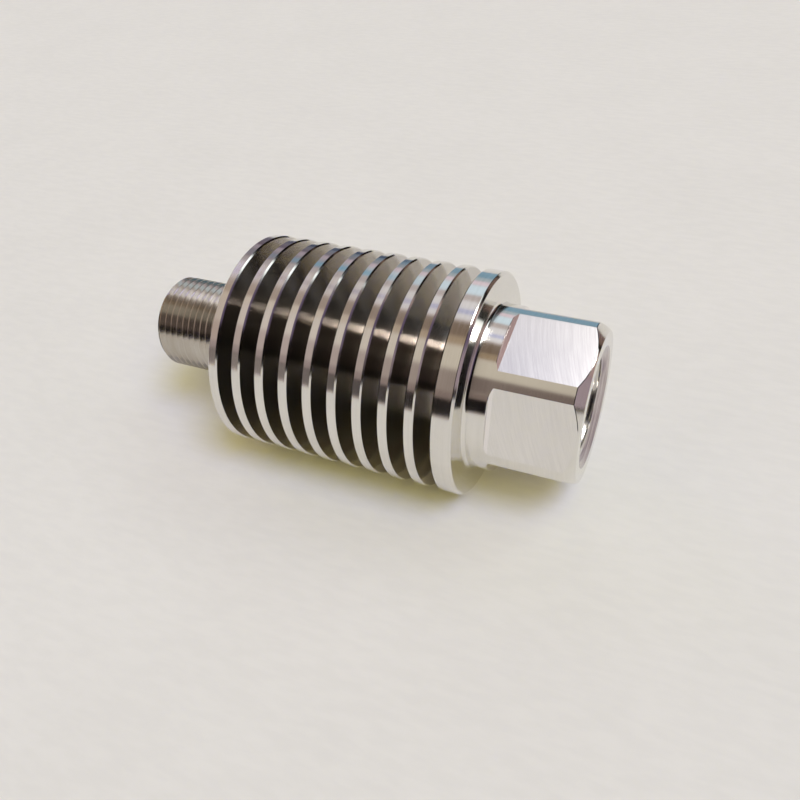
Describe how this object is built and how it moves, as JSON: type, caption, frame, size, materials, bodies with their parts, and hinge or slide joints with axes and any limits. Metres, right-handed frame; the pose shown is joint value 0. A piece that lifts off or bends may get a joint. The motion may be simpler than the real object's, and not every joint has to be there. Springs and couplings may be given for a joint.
{
  "type": "pressure gauge siphon",
  "caption": "Finned stainless cooling siphon for a pressure gauge: male threaded stub, cooling discs, and a round body with wrench flats and a female gauge socket.",
  "frame": {"origin": "centre of the gauge socket's end face, on which the part stands", "axes": "+Z along the axis of the turned piece, from the socket end towards the male stub; +X square to one of the six wrench flats"},
  "size_m": [0.045, 0.045, 0.0948],
  "materials": {
    "turned_stainless": "turned and polished stainless steel with milled wrench flats"
  },
  "bodies": {
    "root": {"siphon_body": "turned_stainless"}
  },
  "joints": []
}
